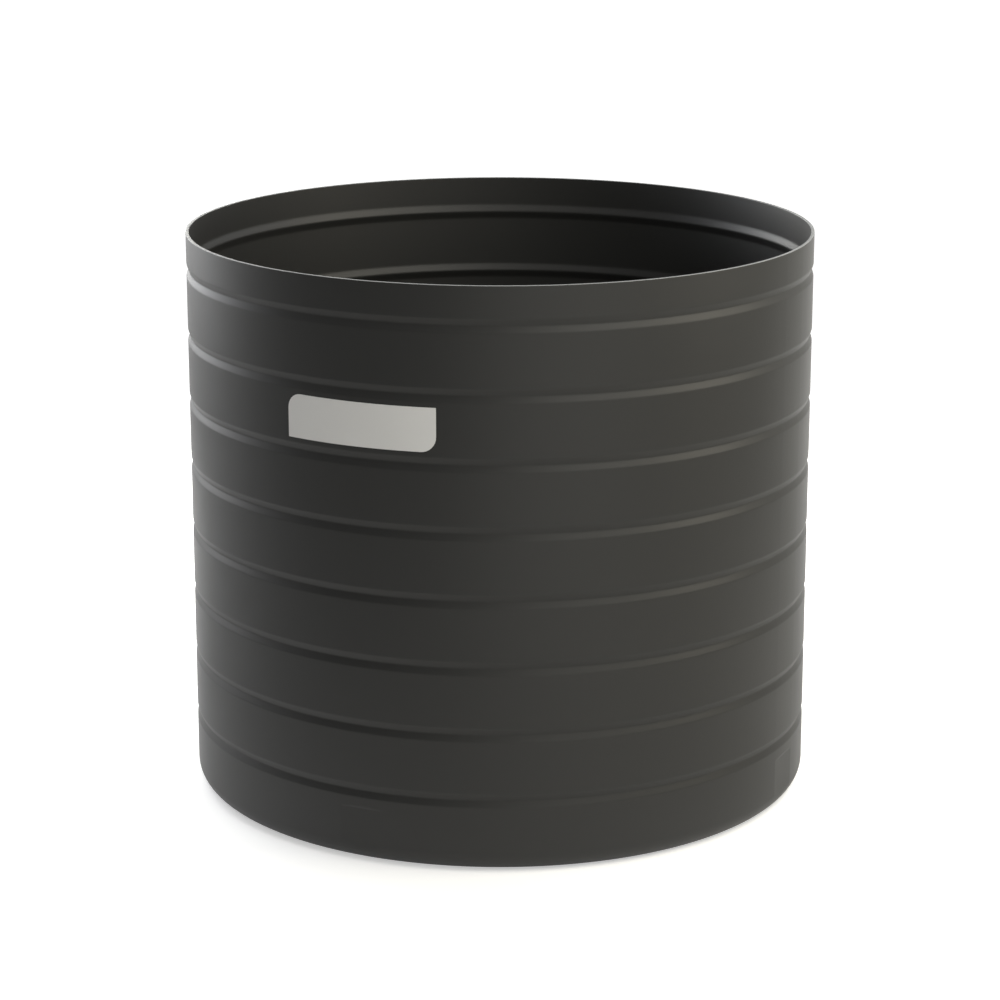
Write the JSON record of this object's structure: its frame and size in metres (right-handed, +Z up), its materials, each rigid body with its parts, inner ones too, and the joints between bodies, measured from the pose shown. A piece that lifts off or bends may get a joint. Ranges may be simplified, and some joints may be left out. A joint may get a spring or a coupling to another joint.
{
  "type": "open-top cylindrical storage tank",
  "caption": "Upright open-top moulded plastic tank with a grooved round wall, rounded bottom corner, flat floor, cut rim and bare label plate.",
  "frame": {"origin": "centre of the tank's flat underside, at floor level", "axes": "+Z up along the tank's axis, -Y towards the front, where the label plate and one outlet flat are, +X to the right, where the next outlet flat is"},
  "size_m": [1.9, 1.9015, 1.717],
  "materials": {
    "moulded_polyethylene": "satin charcoal-black moulded polyethylene",
    "label": "white matt plate, bare"
  },
  "bodies": {
    "root": {"floor": "moulded_polyethylene", "label_plate": "label", "wall_segment_01": "moulded_polyethylene", "wall_segment_02": "moulded_polyethylene", "wall_segment_03": "moulded_polyethylene", "wall_segment_04": "moulded_polyethylene", "wall_segment_05": "moulded_polyethylene", "wall_segment_06": "moulded_polyethylene", "wall_segment_07": "moulded_polyethylene", "wall_segment_08": "moulded_polyethylene", "wall_segment_09": "moulded_polyethylene", "wall_segment_10": "moulded_polyethylene", "wall_segment_11": "moulded_polyethylene", "wall_segment_12": "moulded_polyethylene", "wall_segment_13": "moulded_polyethylene", "wall_segment_14": "moulded_polyethylene", "wall_segment_15": "moulded_polyethylene", "wall_segment_16": "moulded_polyethylene", "wall_segment_17": "moulded_polyethylene", "wall_segment_18": "moulded_polyethylene", "wall_segment_19": "moulded_polyethylene", "wall_segment_20": "moulded_polyethylene", "wall_segment_21": "moulded_polyethylene", "wall_segment_22": "moulded_polyethylene", "wall_segment_23": "moulded_polyethylene", "wall_segment_24": "moulded_polyethylene"}
  },
  "joints": []
}
